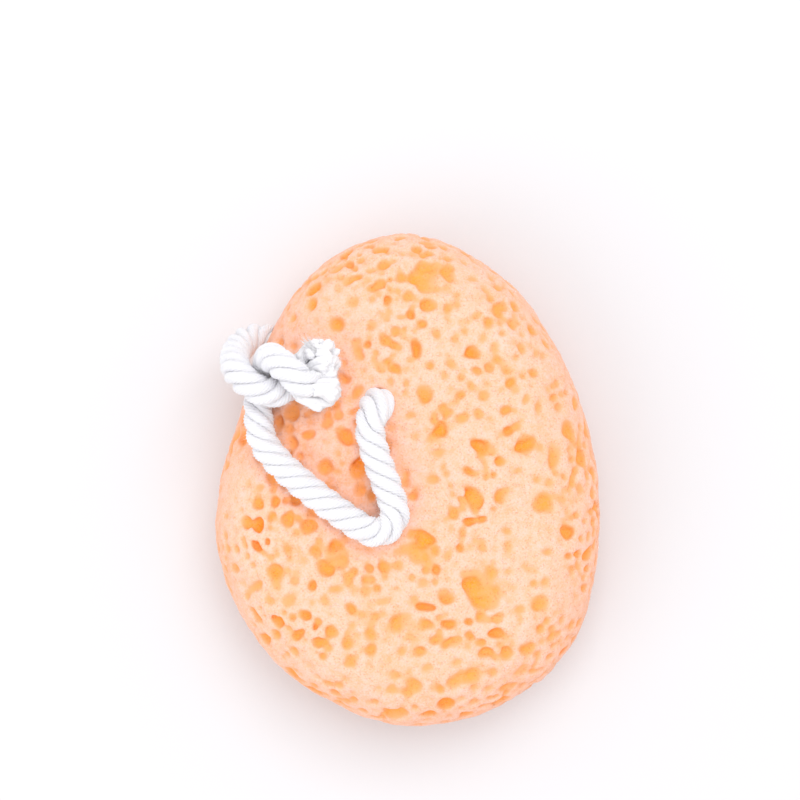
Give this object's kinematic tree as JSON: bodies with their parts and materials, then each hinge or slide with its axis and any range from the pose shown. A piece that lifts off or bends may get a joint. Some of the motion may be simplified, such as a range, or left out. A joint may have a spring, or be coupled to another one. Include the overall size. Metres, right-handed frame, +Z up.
{
  "type": "bath sponge with rope loop",
  "caption": "Egg-shaped porous foam bath sponge in the look of a sea sponge, with a knotted loop of laid cotton rope threaded through it.",
  "frame": {"origin": "centre of the sponge's footprint, on the surface that it lies on", "axes": "+Z up out of the face that carries the rope, +Y towards the narrow end"},
  "size_m": [0.104, 0.1328, 0.0566],
  "materials": {
    "foam": "matte",
    "cotton_rope": "matte"
  },
  "bodies": {
    "root": {"sponge": "foam", "rope": "cotton_rope"}
  },
  "joints": []
}
